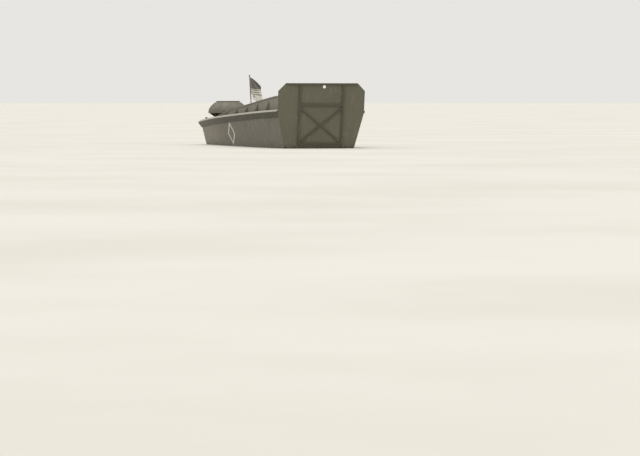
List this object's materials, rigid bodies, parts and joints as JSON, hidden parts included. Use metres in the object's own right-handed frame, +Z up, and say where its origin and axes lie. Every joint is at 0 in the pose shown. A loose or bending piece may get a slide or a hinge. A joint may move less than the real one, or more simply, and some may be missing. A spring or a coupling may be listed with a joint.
{
  "type": "landing craft",
  "caption": "Open wooden landing craft with a flared hard-chine hull, raked bow ramp, cargo well, aft cockpit and round shielded pits, afloat.",
  "frame": {"origin": "on the centreline at mid-length, at the light waterline", "axes": "+X forward to the bow ramp, +Y to port, +Z up"},
  "size_m": [11.039, 3.3054, 3.314],
  "materials": {
    "hull_paint": "matt sea-grey paint on planking and steel plate",
    "ramp_paint": "matt grey paint with a green cast, on steel",
    "rail_paint": "worn grey paint on timber",
    "deck_paint": "gritty grey deck paint on plywood and plank",
    "bare_wood": "weathered timber",
    "hull_plywood": "matt sea-grey paint on plywood",
    "bronze": "dull cast bronze",
    "iron": "dark worn iron",
    "cloth": "limp bunting"
  },
  "bodies": {
    "hull": {"bottom_planking": "hull_plywood", "side_planking_starboard": "hull_plywood", "side_planking_port": "hull_plywood", "transom": "hull_plywood", "keel_and_skeg": "bare_wood", "rub_rail_starboard": "rail_paint", "rub_rail_port": "rail_paint", "rub_rail_stern": "rail_paint", "headlog": "bare_wood", "bow_post_starboard": "ramp_paint", "bow_post_port": "ramp_paint", "side_deck_starboard": "deck_paint", "side_deck_port": "deck_paint", "well_wall_starboard": "hull_plywood", "well_wall_port": "hull_plywood", "coaming_starboard": "hull_paint", "coaming_port": "hull_paint", "cargo_floor": "deck_paint", "cockpit_floor": "deck_paint", "well_bulkhead": "hull_plywood", "cockpit_bulkhead": "hull_plywood", "stern_deck": "deck_paint", "pit_tub_starboard": "hull_paint", "pit_tub_port": "hull_paint", "pit_shield_fore_starboard": "hull_paint", "pit_shield_aft_starboard": "hull_paint", "pit_shield_fore_port": "hull_paint", "pit_shield_aft_port": "hull_paint", "ramp_hinge_starboard": "iron", "ramp_hinge_middle": "iron", "ramp_hinge_port": "iron", "ramp_sheave_starboard": "iron", "ramp_sheave_port": "iron", "engine": "iron", "engine_box": "hull_plywood", "steering_pedestal": "hull_plywood", "winch_frame": "ramp_paint", "towing_post": "iron", "stern_cleat_starboard": "iron", "stern_cleat_port": "iron", "ensign_staff": "bare_wood", "ensign": "cloth"},
    "ramp": {"ramp_plate": "ramp_paint", "ramp_stiffeners": "ramp_paint"},
    "engine_lid": {"engine_box_lid": "hull_plywood"},
    "helm": {"steering_wheel": "bare_wood"},
    "winch": {"winch_drum": "iron"},
    "screw": {"propeller": "bronze"},
    "rudder": {"rudder": "iron"},
    "stern_lid": {"stern_hatch_lid": "hull_plywood"}
  },
  "joints": [
    {"name": "ramp_hinge", "type": "hinge", "parent": "hull", "child": "ramp", "pos_m": [5.1178, 0, 0.03437], "axis": [0, 1, 0], "range_deg": [0, 108]},
    {"name": "engine_lid_hinge", "type": "hinge", "parent": "hull", "child": "engine_lid", "pos_m": [-1.65, 0.488, 0.97], "axis": [-1, 0, 0], "range_deg": [0, 100]},
    {"name": "wheel_turn", "type": "hinge", "parent": "hull", "child": "helm", "pos_m": [-3.13, 0.66, 0.87], "axis": [1, 0, 0], "range_deg": [-420, 420]},
    {"name": "rudder_turn", "type": "hinge", "parent": "hull", "child": "rudder", "pos_m": [-5.1, 0, 0], "axis": [0, 0, 1], "range_deg": [-35, 35]},
    {"name": "winch_turn", "type": "hinge", "parent": "hull", "child": "winch", "pos_m": [-3.1, -1, 0.78], "axis": [0, 1, 0], "range_deg": [0, 2160]},
    {"name": "screw_turn", "type": "hinge", "parent": "hull", "child": "screw", "pos_m": [-4.66, 0, -0.48], "axis": [0.9962, 0, 0.0872], "continuous": true},
    {"name": "stern_lid_hinge", "type": "hinge", "parent": "hull", "child": "stern_lid", "pos_m": [-5.473, 0, 0.8935], "axis": [0, -1, 0], "range_deg": [0, 110]}
  ],
  "couplings": [
    {"joint": "wheel_turn", "follows": "rudder_turn", "ratio": 12},
    {"joint": "winch_turn", "follows": "ramp_hinge", "ratio": 20}
  ]
}
